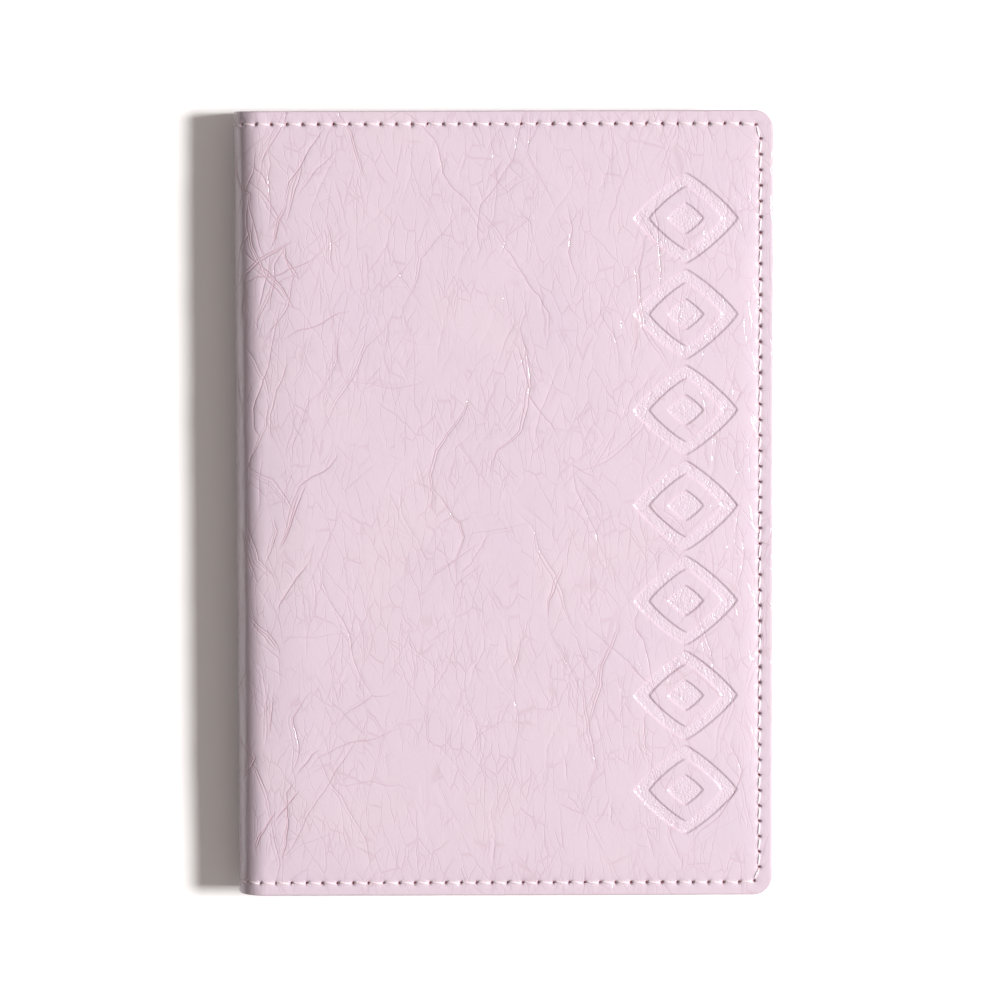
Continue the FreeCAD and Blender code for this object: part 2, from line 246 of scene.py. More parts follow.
class HeightMap:
    """Crease depths drawn on a grid over the flat pattern, read back by interpolation."""

    def __init__(self, creases):
        self.low = np.array([-sheet_end - 1.0, -half_height - 1.0])
        size = np.ceil(-2 * self.low / RASTER_STEP).astype(int) + 1
        self.grid = np.zeros(size, np.float32)
        for crease in creases:
            for i in range(len(crease.points) - 1):
                self.draw(crease, i)

    def draw(self, crease, i):
        a, b = crease.points[i], crease.points[i + 1]
        margin = crease.half + RASTER_STEP
        first = np.floor((np.minimum(a, b) - margin - self.low) / RASTER_STEP).astype(int)
        last = np.ceil((np.maximum(a, b) + margin - self.low) / RASTER_STEP).astype(int) + 1
        first = np.maximum(first, 0)
        last = np.minimum(last, self.grid.shape)
        if (last <= first).any():
            return
        s = self.low[0] + RASTER_STEP * np.arange(first[0], last[0])[:, None]
        y = self.low[1] + RASTER_STEP * np.arange(first[1], last[1])[None, :]
        d = b - a
        t = ((s - a[0]) * d[0] + (y - a[1]) * d[1]) / (d @ d)
        t = np.clip(t, 0.0, 1.0)
        away = np.hypot(s - a[0] - t * d[0], y - a[1] - t * d[1]) / crease.half
        depth = crease.depth[i] + t * (crease.depth[i + 1] - crease.depth[i])
        groove = depth * (0.5 + 0.5 * np.cos(math.pi * np.minimum(away, 1.0)))
        part = self.grid[first[0]:last[0], first[1]:last[1]]
        np.maximum(part, groove, out=part)

    def __call__(self, s, y):
        p = (s - self.low[0]) / RASTER_STEP
        q = (y - self.low[1]) / RASTER_STEP
        i = np.clip(p.astype(int), 0, self.grid.shape[0] - 2)
        j = np.clip(q.astype(int), 0, self.grid.shape[1] - 2)
        u, v = p - i, q - j
        g = self.grid
        low = g[i, j] * (1 - u) + g[i + 1, j] * u
        high = g[i, j + 1] * (1 - u) + g[i + 1, j + 1] * u
        return low * (1 - v) + high * v


# --- Pressed pattern on the front cover -------------------------------------------------

MOTIF_COUNT = 7
MOTIF_PITCH = 17.4
MOTIF_HALF_WIDTH = 9.4
MOTIF_HALF_HEIGHT = 8.2
MOTIF_RINGS = (1.0, 0.70, 0.34)     # outside of the frame, inside of the frame, core
MOTIF_TIP = 6.5                     # fore edge to the tips of the lozenges
MOTIF_DEPTH = 0.24
MOTIF_WALL = 0.46
MOTIF_ROUND = 1.16                  # 1 is a sharp lozenge, 2 an ellipse
motif_s = s_of_x(half_width - MOTIF_TIP - MOTIF_HALF_WIDTH)
motif_scale = MOTIF_HALF_WIDTH * MOTIF_HALF_HEIGHT / math.hypot(MOTIF_HALF_WIDTH, MOTIF_HALF_HEIGHT)


def motif_y(i):
    return (i - (MOTIF_COUNT - 1) / 2) * MOTIF_PITCH


def motif_press(s, y):
    """How far the leather is pressed in, 0 to 1, with sloping walls."""
    row = np.clip(np.round(y / MOTIF_PITCH), -(MOTIF_COUNT // 2), MOTIF_COUNT // 2)
    dx = np.abs(s - motif_s) / MOTIF_HALF_WIDTH
    dy = np.abs(y - row * MOTIF_PITCH) / MOTIF_HALF_HEIGHT
    ring = (dx ** MOTIF_ROUND + dy ** MOTIF_ROUND) ** (1 / MOTIF_ROUND)
    press = np.zeros_like(s)
    for sign, edge in zip((1, -1, 1), MOTIF_RINGS):
        press += sign * smooth((edge - ring) * motif_scale / MOTIF_WALL + 0.5)
    return press


def motif_lines():
    """Contours along the walls of the pattern, so that the mesh follows them."""
    lines = []
    angle = np.linspace(0, math.tau, 97)
    c, sn = np.cos(angle), np.sin(angle)
    unit = (np.abs(c) ** MOTIF_ROUND + np.abs(sn) ** MOTIF_ROUND) ** (-1 / MOTIF_ROUND)
    for i in range(MOTIF_COUNT):
        for edge in MOTIF_RINGS:
            for off in (-0.5, -0.2, 0.2, 0.5):
                k = (edge + off * MOTIF_WALL / motif_scale) * unit
                lines.append(np.stack([
                    motif_s + k * c * MOTIF_HALF_WIDTH,
                    motif_y(i) + k * sn * MOTIF_HALF_HEIGHT,
                ], axis=1))
    return lines


# --- Needle holes along the seam ----------------------------------------------------------

SEAM_CORNER = 1.8
HOLE_HALF_LENGTH = 0.33
HOLE_HALF_WIDTH = 0.19
HOLE_SLANT = math.radians(52)
HOLE_DEPTH = 0.4
HOLE_DIMPLE = 0.12              # the thread pulls the leather down round each hole


def seam_holes(side):
    """Hole centres and seam headings round one cover, from the spine and back to it."""
    seam_s = s_of_x(seam_x)
    r = SEAM_CORNER
    row = seam_s - r
    arc = r * math.pi / 2
    column = 2 * (seam_y - r)
    length = 2 * row + 2 * arc + column
    count = round(length / stitch_pitch)
    holes = []
    for i in range(count):
        at = (i + 0.5) * length / count
        back = at > length / 2
        at = min(at, length - at)
        if at < row:
            s, y, heading = at, -seam_y, 0.0
        elif at < row + arc:
            heading = (at - row) / r
            s = row + r * math.sin(heading)
            y = -seam_y + r - r * math.cos(heading)
        else:
            s, y, heading = seam_s, -seam_y + r + at - row - arc, math.pi / 2
        if back:
            y, heading = -y, math.pi - heading
        holes.append((side * s, y, heading))
    return np.array(holes)


def hole_lines(holes):
    """Two rings round each slanted hole."""
    lines = []
    angle = np.linspace(0, math.tau, 11)
    for s, y, heading in holes:
        for k in (1.0, 0.62):
            a = HOLE_HALF_LENGTH * k * np.cos(angle)
            b = HOLE_HALF_WIDTH * k * np.sin(angle)
            c, sn = math.cos(heading + HOLE_SLANT), math.sin(heading + HOLE_SLANT)
            lines.append(np.stack([s + a * c - b * sn, y + a * sn + b * c], axis=1))
    return lines


def hole_depth(s, y, holes):
    """1 inside a hole, falling to 0 at its rim; read near the holes only."""
    pit = np.zeros_like(s)
    dimple = np.zeros_like(s)
    for hs, hy, heading in holes:
        near = np.flatnonzero((np.abs(s - hs) < 1.6) & (np.abs(y - hy) < 1.6))
        if not len(near):
            continue
        ds, dy = s[near] - hs, y[near] - hy
        c, sn = math.cos(heading + HOLE_SLANT), math.sin(heading + HOLE_SLANT)
        along = (ds * c + dy * sn) / HOLE_HALF_LENGTH
        across = (-ds * sn + dy * c) / HOLE_HALF_WIDTH
        away = np.hypot(along, across)
        pit[near] = np.maximum(pit[near], smooth((1.0 - away) / 0.38))
        dimple[near] = np.maximum(dimple[near], np.exp(-(ds ** 2 + dy ** 2) / 0.5))
    return pit, dimple


# --- Surface of the outer leather -----------------------------------------------------------

PUFF_START = 0.3                # the padding starts this far inside the seam
PUFF_ROLL = 4.0                 # steep shoulder of the padding beside the seam
PUFF_ROLL_SHARE = 0.20          # and the part of its height that it makes
PUFF_DOME = 38.0                # the rest comes in a low dome
SPINE_START = 5.0               # it starts this far inside the fold
SPINE_FLANK = 14.0              # and is this long beside the fold
SEAM_PULL = 0.03                # the seam pulls the leather in
SEAM_PULL_REACH = 0.5
EDGE_ROLL = 0.5
EDGE_DROP = 0.12


def shoulder(from_seam):
    """Rise of the padding across the seam, 0 to 1: a steep roll and a low dome."""
    roll = pillow(from_seam / PUFF_ROLL, 2.5)
    dome = pillow(from_seam / PUFF_DOME, 2.0)
    return PUFF_ROLL_SHARE * roll + (1.0 - PUFF_ROLL_SHARE) * dome


def padding(s, y):
    """Height of the padded leather above the sewn margin."""
    x = x_of_s(s)
    start = seam_inset + PUFF_START
    right = shoulder(half_width - start - x)
    ends = shoulder(half_height - start - np.abs(y))
    spine = pillow((x - fold_x + SPINE_START) / SPINE_FLANK, 2.0)
    return puff * right * ends * spine


class LeatherSurface:
    """Heights of the outer leather over the flat pattern."""

    def __init__(self):
        rng = np.random.default_rng(SEED)
        self.creases = make_creases(rng)
        self.grooves = HeightMap(self.creases)
        self.swell = waves(rng, 26, 9.0, 34.0)
        self.ripple = waves(rng, 30, 3.0, 7.0)
        self.holes = np.concatenate([seam_holes(1), seam_holes(-1)])

    def height(self, s, y):
        x = x_of_s(s)
        inside = np.minimum(half_width - x, half_height - np.abs(y))
        from_seam = np.abs(inside - seam_inset)
        pit, dimple = hole_depth(s, y, self.holes)
        h = padding(s, y)
        h += 0.035 * self.swell(s, y) * smooth(inside / 6.0)
        h += 0.006 * self.ripple(s, y) * smooth(inside / 3.0)
        h -= self.grooves(s, y)
        h -= MOTIF_DEPTH * motif_press(s, y)
        h -= SEAM_PULL * np.exp(-(from_seam / SEAM_PULL_REACH) ** 2)
        h -= HOLE_DIMPLE * dimple
        h -= HOLE_DEPTH * pit
        h -= EDGE_DROP * (1.0 - np.clip(inside / EDGE_ROLL, 0.0, 1.0)) ** 2
        return h

    def outer(self, s, y):
        return wrap(s, y, -self.height(s, y))

    def inner(self, s, y):
        return wrap(s, y, leather_depth - padding(s, y) + MOTIF_DEPTH * motif_press(s, y))

    def normals(self, s, y):
        e = 0.03
        along = self.outer(s + e, y) - self.outer(s - e, y)
        up = self.outer(s, y + e) - self.outer(s, y - e)
        n = np.cross(along, up)
        return n / np.linalg.norm(n, axis=1)[:, None]


# --- Sheets: triangulated flat patterns turned into closed solids ---------------------------


def sheet_outline(inset, first, last, step=0.5):
    """Outline of a sheet from s=first to s=last, with rounded corners at the fore edges."""
    end = sheet_end - inset
    top = half_height - inset
    r = corner_radius - inset

    def corner(cx, cy, start):
        a = start + np.linspace(0, math.pi / 2, 13)
        return [(cx + r * math.cos(t), cy + r * math.sin(t)) for t in a]

    points = []
    points += corner(last - r, -top + r, -math.pi / 2) if last >= end - 0.01 else [(last, -top)]
    points += corner(last - r, top - r, 0.0) if last >= end - 0.01 else [(last, top)]
    points += corner(first + r, top - r, math.pi / 2) if first <= 0.01 - end else [(first, top)]
    points += corner(first + r, -top + r, math.pi) if first <= 0.01 - end else [(first, -top)]
    return densify(np.array(points + points[:1]), step)[:-1]


def densify(line, step):
    """Adds points so that none are further apart than step."""
    out = [line[:1]]
    for a, b in zip(line[:-1], line[1:]):
        n = max(1, math.ceil(np.linalg.norm(b - a) / step - 1e-6))
        out.append(a + (b - a) * (np.arange(1, n + 1) / n)[:, None])
    return np.concatenate(out)


def inside_polygon(points, polygon):
    x, y = points[:, 0], points[:, 1]
    hit = np.zeros(len(points), bool)
    x0, y0 = polygon[-1]
    for x1, y1 in polygon:
        crosses = (y0 > y) != (y1 > y)
        if y1 != y0:
            hit ^= crosses & (x < (x1 - x0) * (y - y0) / (y1 - y0) + x0)
        x0, y0 = x1, y1
    return hit


def grid_points(outline, spacing, margin=0.35):
    low, high = outline.min(0) + margin, outline.max(0) - margin
    n = np.maximum(2, np.round((high - low) / spacing).astype(int) + 1)
    s, y = np.meshgrid(np.linspace(low[0], high[0], n[0]), np.linspace(low[1], high[1], n[1]))
    points = np.stack([s.ravel(), y.ravel()], axis=1)
    return points[inside_polygon(points, outline)]


def triangulate(outline, lines, points):
    """Triangles of the sheet, with edges along the outline and along every line."""
    blocks = [outline] + lines + [points]
    edges = []
    start = 0
    for k, block in enumerate(blocks[:-1]):
        n = len(block)
        edges += [(start + i, start + i + 1) for i in range(n - 1)]
        if k == 0:
            edges.append((start + n - 1, start))
        start += n
    everything = np.concatenate(blocks)
    coords = [Vector(p) for p in everything]
    verts, _, faces, *_ = delaunay_2d_cdt(coords, edges, [], 1, 1e-4)
    return np.array([tuple(v) for v in verts]), np.array([tuple(f) for f in faces])


def boundary_loop(triangles):
    """Vertices round the edge of a triangulated sheet, in order."""
    a = triangles.ravel()
    b = np.roll(triangles, -1, axis=1).ravel()
    n = a.max() + 1
    single = ~np.isin(a * n + b, b * n + a)
    following = dict(zip(a[single].tolist(), b[single].tolist()))
    loop = [a[single][0]]
    while following[loop[-1]] != loop[0]:
        loop.append(following[loop[-1]])
    return np.array(loop)


def used_only(points, triangles):
    """Drops the points that no triangle uses."""
    used = np.unique(triangles)
    index = np.full(len(points), -1)
    index[used] = np.arange(len(used))
    return points[used], index[triangles]


def closed_sheet(name, pattern, triangles, outer, inner, normals=None, inner_step=3.0):
    """Solid sheet: the outer face as triangulated, a coarser inner face and a wall between."""
    pattern, triangles = used_only(pattern, triangles)
    loop = boundary_loop(triangles)
    rim = pattern[loop]
    back_pattern, back = triangulate(rim, [], grid_points(rim, inner_step, inner_step / 2))
    n = len(pattern)
    match = match_points(rim, back_pattern)
    index = np.arange(len(back_pattern)) + n
    top = outer(pattern[:, 0], pattern[:, 1])
    bottom = inner(back_pattern[:, 0], back_pattern[:, 1])
    after = np.roll(np.arange(len(loop)), -1)
    low, high = index[match], loop
    walls = np.stack([high, low, low[after], high[after]], axis=1)
    faces = triangles.tolist() + index[back][:, ::-1].tolist() + walls.tolist()
    mesh = bpy.data.meshes.new(name)
    mesh.from_pydata((np.concatenate([top, bottom]) * MM).tolist(), [], faces)
    mesh.update()
    flat = np.concatenate([pattern, back_pattern])
    set_vector(mesh, "flat", np.stack([flat[:, 0], flat[:, 1], np.zeros(len(flat))], axis=1))
    mesh.shade_smooth()
    mark_rim(mesh, high, low)
    if normals is not None:
        custom = np.zeros((len(mesh.loops), 3))
        corners = triangles.ravel()
        custom[:len(corners)] = normals(pattern[:, 0], pattern[:, 1])[corners]
        mesh.normals_split_custom_set(custom.tolist())
    obj = bpy.data.objects.new(name, mesh)
    bpy.context.scene.collection.objects.link(obj)
    return obj, pattern


def match_points(wanted, points):
    """Index in points of each wanted point."""
    found = {tuple(np.round(p, 4)): i for i, p in enumerate(points)}
    return np.array([found[tuple(np.round(p, 4))] for p in wanted])


def mark_rim(mesh, high, low):
    """Keeps the shading from running over the two edges of the wall."""
    rim = set()
    for ring in (high, low):
        for a, b in zip(ring, np.roll(ring, -1)):
            rim.add((min(a, b), max(a, b)))
    edges = np.zeros(len(mesh.edges) * 2, int)
    mesh.edges.foreach_get("vertices", edges)
    edges = np.sort(edges.reshape(-1, 2), axis=1)
    sharp = [tuple(e) in rim for e in edges.tolist()]
    attribute = mesh.attributes.new("sharp_edge", "BOOLEAN", "EDGE")
    attribute.data.foreach_set("value", sharp)


def set_vector(mesh, name, values):
    attribute = mesh.attributes.new(name, "FLOAT_VECTOR", "POINT")
    attribute.data.foreach_set("vector", np.asarray(values, np.float32).ravel())


def set_value(mesh, name, values):
    attribute = mesh.attributes.new(name, "FLOAT", "POINT")
    attribute.data.foreach_set("value", np.asarray(values, np.float32).ravel())


# --- Materials --------------------------------------------------------------------------------


class Nodes:
    """Short calls for building a material's node tree."""

    def __init__(self, name):
        self.material = bpy.data.materials.new(name)
        self.material.use_nodes = True
        self.tree = self.material.node_tree
        self.shader = self.tree.nodes["Principled BSDF"]

    def add(self, kind, inputs=None, **settings):
        node = self.tree.nodes.new(kind)
        for key, value in settings.items():
            setattr(node, key, value)
        for key, value in (inputs or {}).items():
            self.plug(node.inputs[key], value)
        return node

    def plug(self, socket, value):
        if isinstance(value, bpy.types.NodeSocket):
            self.tree.links.new(value, socket)
        else:
            socket.default_value = value

    def attribute(self, name, output="Fac"):
        return self.add("ShaderNodeAttribute", attribute_name=name).outputs[output]

    def scaled(self, vector, scale):
        return self.add("ShaderNodeVectorMath", {0: vector, 1: scale}, operation="MULTIPLY").outputs[0]

    def noise(self, vector, scale, detail=2.0, roughness=0.5):
        inputs = {"Vector": vector, "Scale": scale, "Detail": detail, "Roughness": roughness}
        return self.add("ShaderNodeTexNoise", inputs)

    def cracks(self, vector, scale, randomness=1.0):
        """0 on the cell borders of a Voronoi pattern, rising inside the cells."""
        inputs = {"Vector": vector, "Scale": scale, "Randomness": randomness}
        return self.add("ShaderNodeTexVoronoi", inputs, feature="DISTANCE_TO_EDGE").outputs[0]

    def ramp(self, value, low, high, to_low=0.0, to_high=1.0):
        inputs = {"Value": value, "From Min": low, "From Max": high, "To Min": to_low, "To Max": to_high}
        return self.add("ShaderNodeMapRange", inputs, clamp=True).outputs["Result"]

    def maths(self, operation, a, b=0.0):
        return self.add("ShaderNodeMath", {0: a, 1: b}, operation=operation).outputs[0]

    def mix_colour(self, factor, a, b):
        node = self.add("ShaderNodeMix", data_type="RGBA")
        self.plug(node.inputs["Factor"], factor)
        self.plug(node.inputs["A"], a)
        self.plug(node.inputs["B"], b)
        return node.outputs["Result"]

    def bump(self, height, distance, normal=None, strength=1.0):
        inputs = {"Height": height, "Distance": abs(distance), "Strength": strength}
        node = self.add("ShaderNodeBump", inputs, invert=distance < 0)
        if normal is not None:
            self.plug(node.inputs["Normal"], normal)
        return node.outputs[0]

    def finish(self, **inputs):
        for key, value in inputs.items():
            self.plug(self.shader.inputs[key.replace("_", " ")], value)
        return self.material


class WorldNodes(Nodes):
    """The same short calls for the world's node tree."""

    def __init__(self, world):
        world.use_nodes = True
        self.material = None
        self.tree = world.node_tree
        self.shader = self.tree.nodes["Background"]


def rgb(r, g, b):
    return (r, g, b, 1.0)


LEATHER_PINK = rgb(0.562, 0.470, 0.550)
LEATHER_PINK_WARM = rgb(0.577, 0.480, 0.550)
LEATHER_PRESSED = rgb(0.585, 0.494, 0.572)
# Deeper pink painted into creases, grooves, pressed walls and grain crevices as shade.
CREASE_SHADE_PINK = rgb(0.44, 0.28, 0.33)
HOLE_BROWN = rgb(0.46, 0.14, 0.11)
EDGE_PAINT = rgb(0.42, 0.30, 0.37)


# Fine creases drawn by the shader: angle, cells per millimetre across, and their stretch.
CREASE_NETS = ((0.26, 0.22, 0.24), (-0.30, 0.32, 0.26), (0.02, 0.50, 0.28))
FINE_CREASE = 0.085             # half width


def fine_creases(n, place):
    """1 along the borders of long narrow cells that run up the holder, in patches."""
    clouds = n.noise(place, 0.13, 2.0).outputs["Color"]
    patches = n.add("ShaderNodeSeparateColor", {"Color": clouds}).outputs
    lines = 0.0
    for patch, (angle, scale, stretch) in zip(patches, CREASE_NETS):
        turn = {"Vector": place, "Angle": angle}
        turned = n.add("ShaderNodeVectorRotate", turn, rotation_type="Z_AXIS").outputs[0]
        away = n.cracks(n.scaled(turned, (1.0, stretch, 1.0)), scale)
        line = n.ramp(away, 0.0, FINE_CREASE * scale, 1.0, 0.0)
        lines = n.maths("MAXIMUM", lines, n.maths("MULTIPLY", line, n.ramp(patch, 0.42, 0.58)))
    return lines


def patent_leather():
    n = Nodes("crinkled_patent_leather")
    flat = n.attribute("flat", "Vector")
    drift = n.noise(flat, 0.045, 3.0).outputs["Fac"]
    warp = n.scaled(n.noise(flat, 0.35, 2.0).outputs["Color"], (1.2, 1.2, 0.0))
    bent = n.add("ShaderNodeVectorMath", {0: flat, 1: warp}).outputs[0]
    net = n.ramp(n.cracks(n.scaled(bent, (1.0, 0.5, 1.0)), 0.7), 0.0, 0.07, 0.14, 0.0)
    net = n.maths("MAXIMUM", net, fine_creases(n, bent))
    pressed = n.attribute("pressed")
    inputs = {"Vector": flat, "Scale": 2.9, "Smoothness": 0.6}
    cells = n.add("ShaderNodeTexVoronoi", inputs, feature="SMOOTH_F1").outputs["Distance"]
    pebble = n.maths("MULTIPLY", cells, pressed)
    skin = n.noise(flat, 1.6, 4.0, 0.6).outputs["Fac"]
    normal = n.bump(net, -0.000024)
    normal = n.bump(pebble, 0.00007, normal)
    normal = n.bump(skin, 0.000012, normal)
    colour = n.mix_colour(n.ramp(drift, 0.35, 0.65), LEATHER_PINK, LEATHER_PINK_WARM)
    colour = n.mix_colour(pressed, colour, LEATHER_PRESSED)
    # Painted shade: the fine crease lines are darkened towards the deeper crease pink.
    colour = n.mix_colour(n.maths("MULTIPLY", net, 0.28), colour, CREASE_SHADE_PINK)
    # Painted shade on both walls of the pressed pattern.
    walls = n.maths("MULTIPLY", pressed, n.maths("SUBTRACT", 1.0, pressed))
    colour = n.mix_colour(walls, colour, CREASE_SHADE_PINK)
    # Painted shade: the deeper the mesh groove, the darker its colour.
    colour = n.mix_colour(n.ramp(n.attribute("groove"), 0.003, 0.035, 0.0, 0.5), colour, CREASE_SHADE_PINK)
    pit = n.ramp(n.attribute("pit"), 0.2, 0.7)
    colour = n.mix_colour(pit, colour, HOLE_BROWN)
    rough = n.ramp(skin, 0.3, 0.7, 0.42, 0.55)
    coat_rough = n.ramp(pressed, 0.0, 1.0, 0.07, 0.2)
    return n.finish(
        Base_Color=colour, Roughness=rough, Normal=normal, Coat_Weight=n.ramp(pit, 0.0, 1.0, 0.9, 0.1),
        Coat_Roughness=coat_rough, Coat_Normal=normal, Specular_IOR_Level=0.12,
    )


def grained_leather(name, colour, other, grain):
    """Satin leather with a fine pebble grain and shade painted into the grain's crevices, for the lining and
    the pockets.
    """
    n = Nodes(name)
    flat = n.attribute("flat", "Vector")
    warp = n.scaled(n.noise(flat, 0.9, 2.0).outputs["Color"], (0.5, 0.5, 0.0))
    bent = n.add("ShaderNodeVectorMath", {0: flat, 1: warp}).outputs[0]
    cells = n.ramp(n.cracks(bent, grain), 0.0, 0.22)
    haze = n.noise(flat, 0.08, 3.0).outputs["Fac"]
    tooth = n.noise(flat, 6.0, 3.0, 0.6).outputs["Fac"]
    normal = n.bump(cells, 0.00004)
    normal = n.bump(tooth, 0.00001, normal)
    tone = n.mix_colour(n.ramp(haze, 0.3, 0.7), colour, other)
    # Painted shade: the borders of the grain cells are darkened towards the deeper crease pink.
    tone = n.mix_colour(n.ramp(cells, 0.0, 0.6, 0.22, 0.0), tone, CREASE_SHADE_PINK)
    tone = n.mix_colour(n.attribute("rim"), tone, EDGE_PAINT)
    return n.finish(Base_Color=tone, Roughness=n.ramp(tooth, 0.3, 0.7, 0.46, 0.6), Normal=normal)


def edge_coat():
    n = Nodes("painted_edge")
    flat = n.attribute("flat", "Vector")
    lumps = n.noise(flat, 0.8, 3.0).outputs["Fac"]
    layers = n.noise(n.scaled(flat, (0.3, 0.3, 4.0)), 1.0, 2.0).outputs["Fac"]
    colour = n.mix_colour(n.ramp(lumps, 0.3, 0.7), rgb(0.42, 0.33, 0.39), rgb(0.48, 0.38, 0.44))
    normal = n.bump(n.maths("ADD", lumps, layers), 0.00006)
    return n.finish(Base_Color=colour, Roughness=n.ramp(layers, 0.3, 0.7, 0.3, 0.45), Normal=normal)


def thread_material(name, colour, shade):
    n = Nodes(name)
    place = n.attribute("flat", "Vector")
    fibre = n.noise(n.scaled(place, (9.0, 2.0, 2.0)), 1.0, 3.0, 0.6).outputs["Fac"]
    tone = n.mix_colour(n.ramp(fibre, 0.3, 0.7), colour, shade)
    normal = n.bump(fibre, 0.00003)
    return n.finish(
        Base_Color=tone, Roughness=n.ramp(fibre, 0.3, 0.7, 0.34, 0.5), Normal=normal,
        Specular_IOR_Level=0.4,
    )


def foam_material():
    n = Nodes("open_cell_foam")
    place = n.add("ShaderNodeTexCoord").outputs["Object"]
    cells = n.cracks(place, 2600.0)
    tone = n.mix_colour(n.ramp(cells, 0.0, 0.3), rgb(0.62, 0.58, 0.5), rgb(0.82, 0.8, 0.74))
    return n.finish(Base_Color=tone, Roughness=0.9, Normal=n.bump(cells, 0.0001))


def board_material():
    n = Nodes("bonded_fibre_board")
    place = n.add("ShaderNodeTexCoord").outputs["Object"]
    fibres = n.noise(n.scaled(place, (1.0, 4.0, 1.0)), 900.0, 4.0, 0.7).outputs["Fac"]
    tone = n.mix_colour(n.ramp(fibres, 0.3, 0.7), rgb(0.24, 0.15, 0.09), rgb(0.38, 0.27, 0.17))
    return n.finish(Base_Color=tone, Roughness=0.8, Normal=n.bump(fibres, 0.0001))


# --- Pieces -------------------------------------------------------------------------------------


def bend_between(obj, side):
    """Bakes the piece's transform into its mesh, the same for either cover."""
    if side > 0:
        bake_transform(obj)
    else:
        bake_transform(obj)


def side_of(triangles, pattern, side):
    centre = pattern[triangles].mean(axis=1)[:, 0]
    return triangles[centre * side > 0]


def leather_pieces(surface, material):
    end = sheet_end - paint_width + 0.08
    inset = paint_width - 0.08
    outline = sheet_outline(inset, -end, end)
    top = outline[:, 1].max()
    middle = np.stack([np.zeros(287), np.linspace(-top, top, 287)], axis=1)
    lines = [middle]
    for crease in surface.creases:
        for k in crease.lines:
            line = beside(crease.points, k * crease.half)
            lines += clipped(line, end - 0.25, top - 0.25)
    for contour in motif_lines() + hole_lines(surface.holes):
        lines.append(contour)
    points = [grid_points(outline, 1.15)]
    for inset_line in (0.25, 0.5, 0.8, 1.5, 2.0, 2.8, 3.2, 3.8, 4.5):
        points.append(sheet_outline(inset + inset_line, -end + inset_line, end - inset_line, 0.7))
    pattern, triangles = triangulate(outline, lines, np.concatenate(points))
    pieces = []
    for side, name, node in ((1, "front_leather", "front_cover_leather"),
                             (-1, "back_leather", "back_cover_leather")):
        half = side_of(triangles, pattern, side)
        obj, used = closed_sheet(name, pattern, half, surface.outer, surface.inner, surface.normals)
        inner_count = len(obj.data.vertices) - len(used)
        s, y = used[:, 0], used[:, 1]
        pit, _ = hole_depth(s, y, surface.holes)
        for key, values in (("groove", surface.grooves(s, y)), ("pressed", motif_press(s, y)), ("pit", pit)):
            set_value(obj.data, key, np.concatenate([values, np.zeros(inner_count)]))
        obj.data.materials.append(material)
        bend_between(obj, side)
        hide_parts(node, "spine_leather")
        pieces.append(obj)
    return pieces


def clipped(line, s_max, y_max):
    """The stretches of a line that lie inside the sheet."""
    keep = (np.abs(line[:, 0]) < s_max) & (np.abs(line[:, 1]) < y_max)
    parts = []
    start = None
    for i, inside in enumerate(list(keep) + [False]):
        if inside and start is None:
            start = i
        if not inside and start is not None:
            if i - start > 2:
                parts.append(line[start:i])
            start = None
    return parts


def swept(rings):
    """Closed tube through rings of points, (ring, point, 3)."""
    n, m, _ = rings.shape
    index = np.arange(n * m).reshape(n, m)
    a, b = index[:-1], index[1:]
    quads = np.stack([a, np.roll(a, -1, 1), np.roll(b, -1, 1), b], axis=-1).reshape(-1, 4)
    faces = quads.tolist() + [index[0][::-1].tolist(), index[-1].tolist()]
    return rings.reshape(-1, 3), faces


THREAD_SHORTFALL = 0.3          # thread to the middle of the needle hole
THREAD_DIVE = 0.5
THREAD_RADIUS = 0.2
BOBBIN_RADIUS = 0.18
THREAD_LIFT = 0.02              # middle of the thread above the leather
BOBBIN_LIFT = 0.1
THREAD_LEAN = 0.26              # how far a stitch lies off the seam line
STITCH_STEPS = 17
STITCH_SIDES = 12
PLY_PITCH = 2.6                 # the thread's three plies turn once in this length
PLY_DEPTH = 0.14


def thread_run(a, b, lift, lean):
    """Middle line of one stitch: it comes up beside one hole and dives beside the next."""
    t = np.linspace(0.0, 1.0, STITCH_STEPS)
    d = b - a
    length = np.linalg.norm(d)
    along = d / length
    across = np.array([-along[1], along[0]])
    run = THREAD_SHORTFALL + (length - 2 * THREAD_SHORTFALL) * t
    centre = a + along * run[:, None] + across * (lean * (0.5 - t))[:, None]
    rise = -THREAD_DIVE + (THREAD_DIVE + lift) * np.sin(math.pi * t) ** 0.42
    return centre, rise, length * t


def stitch_tube(a, b, level, outward, radius, lift, lean, roll):
    """Rings of one stitch and its texture places; outward is 1 outside and -1 inside."""
    theta = np.linspace(0, math.tau, STITCH_SIDES, endpoint=False)
    centre, rise, travel = thread_run(a, b, lift, lean)
    s, y = centre[:, 0], centre[:, 1]
    height = level(s, y) + outward * rise
    path = wrap(s, y, -height)
    up = wrap(s, y, -height - 1.0) - path
    along = np.gradient(path, axis=0)
    along /= np.linalg.norm(along, axis=1)[:, None]
    flank = np.cross(along, up)
    flank /= np.linalg.norm(flank, axis=1)[:, None]
    over = np.cross(flank, along)
    twist = 3 * (theta[None, :] - math.tau * travel[:, None] / PLY_PITCH) + roll
    r = (radius * (1.0 + PLY_DEPTH * np.cos(twist)))[..., None]
    sideways = np.cos(theta)[None, :, None] * flank[:, None, :]
    upwards = np.sin(theta)[None, :, None] * over[:, None, :]
    rings = path[:, None, :] + r * (sideways + upwards)
    length = np.broadcast_to(travel[:, None], r.shape[:2])
    place = np.stack([length + 7.0 * roll, theta * radius + length * 0.5, 0.0 * length], axis=-1)
    return rings, place


